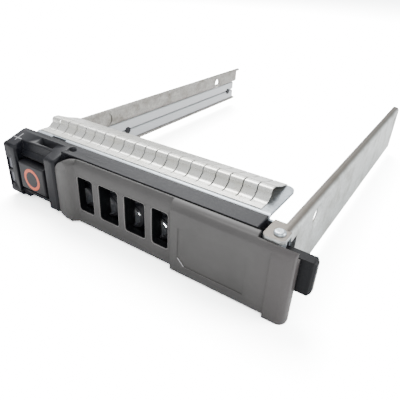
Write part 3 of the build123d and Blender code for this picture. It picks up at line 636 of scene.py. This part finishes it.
def zinc_sheet(name, dull, bright, roughness, streak_way, stain):
    """Base colour: crystals between dull and bright, darkened by slow stains. Roughness: streaks
    stretched along streak_way. Bump: the same streaks, very low."""
    finish = bpy.data.materials.new(name)
    finish.use_nodes = True
    make = finish.node_tree.nodes.new
    link = finish.node_tree.links.new
    shader = finish.node_tree.nodes["Principled BSDF"]
    shader.inputs["Metallic"].default_value = sheet_metallic
    place = make("ShaderNodeTexCoord")
    crystals = make("ShaderNodeTexVoronoi")
    crystals.inputs["Scale"].default_value = crystal_scale
    link(place.outputs["Object"], crystals.inputs["Vector"])
    stains = make("ShaderNodeTexNoise")
    stains.inputs["Scale"].default_value = stain_scale
    stains.inputs["Detail"].default_value = stain_detail
    link(place.outputs["Object"], stains.inputs["Vector"])
    stretch = make("ShaderNodeMapping")
    along, across = streak_scales
    stretch.inputs["Scale"].default_value = tuple(along if w else across for w in streak_way)
    link(place.outputs["Object"], stretch.inputs["Vector"])
    streaks = make("ShaderNodeTexNoise")
    streaks.inputs["Scale"].default_value = 1.0
    streaks.inputs["Detail"].default_value = streak_detail
    link(stretch.outputs["Vector"], streaks.inputs["Vector"])
    tone = make("ShaderNodeMix")
    tone.data_type = "RGBA"
    tone.inputs["A"].default_value = (*dull, 1)
    tone.inputs["B"].default_value = (*bright, 1)
    spread = make("ShaderNodeMapRange")
    spread.inputs["From Max"].default_value = crystal_span
    link(crystals.outputs["Distance"], spread.inputs["Value"])
    link(spread.outputs["Result"], tone.inputs["Factor"])
    soil = make("ShaderNodeMix")
    soil.data_type = "RGBA"
    soil.blend_type = "MULTIPLY"
    soil.inputs["B"].default_value = (*stain, 1)
    patch = make("ShaderNodeMapRange")
    patch.inputs["From Min"].default_value = stain_span[0]
    patch.inputs["From Max"].default_value = stain_span[1]
    link(stains.outputs["Fac"], patch.inputs["Value"])
    link(patch.outputs["Result"], soil.inputs["Factor"])
    link(tone.outputs["Result"], soil.inputs["A"])
    link(soil.outputs["Result"], shader.inputs["Base Color"])
    sheen = make("ShaderNodeMapRange")
    sheen.inputs["To Min"].default_value = roughness - streak_sheen
    sheen.inputs["To Max"].default_value = roughness + streak_sheen
    link(streaks.outputs["Fac"], sheen.inputs["Value"])
    link(sheen.outputs["Result"], shader.inputs["Roughness"])
    round_edge = make("ShaderNodeBevel")
    round_edge.samples = sheet_samples
    round_edge.inputs["Radius"].default_value = sheet_edge
    bump = make("ShaderNodeBump")
    bump.inputs["Strength"].default_value = streak_strength
    bump.inputs["Distance"].default_value = streak_height
    link(streaks.outputs["Fac"], bump.inputs["Height"])
    link(round_edge.outputs["Normal"], bump.inputs["Normal"])
    link(bump.outputs["Normal"], shader.inputs["Normal"])
    return finish


def paint_light_by_facing(finish, stops, tint):
    """Mixes the base colour towards tint by how far the surface looks up, which paints light and
    shade
    by facing: stops pair the upward part of the surface's normal, from -1 to 1, with the share of
    the tint."""
    make = finish.node_tree.nodes.new
    link = finish.node_tree.links.new
    colour = finish.node_tree.nodes["Principled BSDF"].inputs["Base Color"]
    before = colour.links[0].from_socket
    place = make("ShaderNodeTexCoord")
    split = make("ShaderNodeSeparateXYZ")
    upward = make("ShaderNodeMapRange")
    upward.inputs["From Min"].default_value = -1
    share = make("ShaderNodeValToRGB")
    ramp = share.color_ramp.elements
    while len(ramp) < len(stops):
        ramp.new(0.5)
    for element, (height, weight) in zip(ramp, stops):
        element.position = (height + 1) / 2
        element.color = (weight, weight, weight, 1)
    mix = make("ShaderNodeMix")
    mix.data_type = "RGBA"
    mix.inputs["B"].default_value = (*tint, 1)
    link(place.outputs["Normal"], split.inputs["Vector"])
    link(split.outputs["Z"], upward.inputs["Value"])
    link(upward.outputs["Result"], share.inputs["Fac"])
    link(share.outputs["Color"], mix.inputs["Factor"])
    link(before, mix.inputs["A"])
    link(mix.outputs["Result"], colour)


shield_zinc = zinc_sheet("shield_zinc", (0.31, 0.345, 0.37), (0.46, 0.50, 0.53), 0.4, (1, 0, 0),
                         (0.78, 0.79, 0.81))
# Painted highlight: faces that slope up, along the front bend, are mixed towards a pale blue.
paint_light_by_facing(shield_zinc, ((0.1, 0), (0.3, 1), (0.9, 1), (0.98, 0)), (0.80, 0.86, 0.92))
dress("front_shield", shield_zinc)

# Rails: folded from the same sheet and spot welded to the shield. The left one is warm grey
# inside. The right one is pale on its wall; faces that look up, its flange and ear, are painted
# darker and browner, painted shade.
dress("left_rail", zinc_sheet("left_rail_zinc", (0.25, 0.24, 0.225), (0.40, 0.39, 0.365), 0.45,
                              (0, 1, 0), (0.62, 0.60, 0.56)))
right_rail_zinc = zinc_sheet("right_rail_zinc", (0.42, 0.44, 0.43), (0.62, 0.645, 0.635), 0.42,
                             (0, 1, 0), (0.66, 0.65, 0.62))
# Painted shade: faces that look up are mixed towards a dark brown.
paint_light_by_facing(right_rail_zinc, ((0, 0), (0.6, 0), (0.9, 0.9), (1, 0.9)), (0.17, 0.148, 0.125))
dress("right_rail", right_rail_zinc)

# Contact fingers: thin nickel plated spring sheet, bright and almost white, polished along each
# finger by the press tool. Faces that look down are painted a darker dull gold, painted shade
# under the fingers.
finger_nickel = zinc_sheet("finger_nickel", (0.88, 0.875, 0.83), (0.94, 0.935, 0.89), 0.3,
                           (0, 1, 0), (0.95, 0.94, 0.90))
finger_metallic = 0.75
finger_shader = finger_nickel.node_tree.nodes["Principled BSDF"]
finger_shader.inputs["Metallic"].default_value = finger_metallic
# Painted shade: faces that look down are mixed towards a dull gold.
paint_light_by_facing(finger_nickel, ((-1, 0.9), (-0.6, 0.9), (-0.1, 0), (1, 0)), (0.42, 0.31, 0.15))
dress("contact_fingers", finger_nickel)

# Rivet, bush, pin and screws: turned steel with bright zinc. The rivet holds the lever between
# the right rail's ears, and the screws hold the frame to the shield.
turned_steel = zinc_sheet("turned_zinc", (0.50, 0.56, 0.60), (0.68, 0.74, 0.78), 0.3,
                          (0, 0, 1), (0.8, 0.8, 0.8))
for fixing in ("lever_rivet", "pivot_bush", "button_pin", "frame_screws"):
    dress(fixing, turned_steel)

# Springs: wound from drawn wire, darker and a little oily. One presses the button back, and one
# swings the lever out.
spring_wire = zinc_sheet("spring_wire", (0.25, 0.25, 0.26), (0.38, 0.38, 0.39), 0.3, (1, 0, 0),
                         (0.7, 0.68, 0.65))
dress("button_spring", spring_wire)
dress("lever_spring", spring_wire)

# Light pipes: two clear plastic bars with a faint grey milkiness, held to the left rail by push
# studs. Their colour is painted dark inside the black end block and light along the steel, for
# what shows through them.
pipe_cloud_scale = 300.0
pipe_painted_light_span = (3 * mm, 9 * mm)
pipe_clear = bpy.data.materials.new("pipe_clear")
pipe_clear.use_nodes = True
pipe_shader = pipe_clear.node_tree.nodes["Principled BSDF"]
pipe_place = pipe_clear.node_tree.nodes.new("ShaderNodeTexCoord")
pipe_cloud = pipe_clear.node_tree.nodes.new("ShaderNodeTexNoise")
pipe_cloud.inputs["Scale"].default_value = pipe_cloud_scale
pipe_tone = pipe_clear.node_tree.nodes.new("ShaderNodeValToRGB")
pipe_tone.color_ramp.elements[0].color = (0.13, 0.133, 0.155, 1)
pipe_tone.color_ramp.elements[1].color = (0.24, 0.245, 0.275, 1)
pipe_clear.node_tree.links.new(pipe_place.outputs["Object"], pipe_cloud.inputs["Vector"])
pipe_clear.node_tree.links.new(pipe_cloud.outputs["Fac"], pipe_tone.inputs["Fac"])
pipe_clear.node_tree.links.new(pipe_tone.outputs["Color"], pipe_shader.inputs["Base Color"])
pipe_shader.inputs["Roughness"].default_value = 0.2
pipe_shader.inputs["Transmission Weight"].default_value = 0.2
pipe_shader.inputs["IOR"].default_value = 1.49
# Painted light: the colour turns from dark to pale grey along Y, for the steel seen through the
# bars.
cast_along(pipe_clear, "Y", front_plane + pipe_painted_light_span[0], front_plane + pipe_painted_light_span[1],
           (0.62, 0.64, 0.66))
dress("lower_light_pipe", pipe_clear)
dress("upper_light_pipe", pipe_clear)
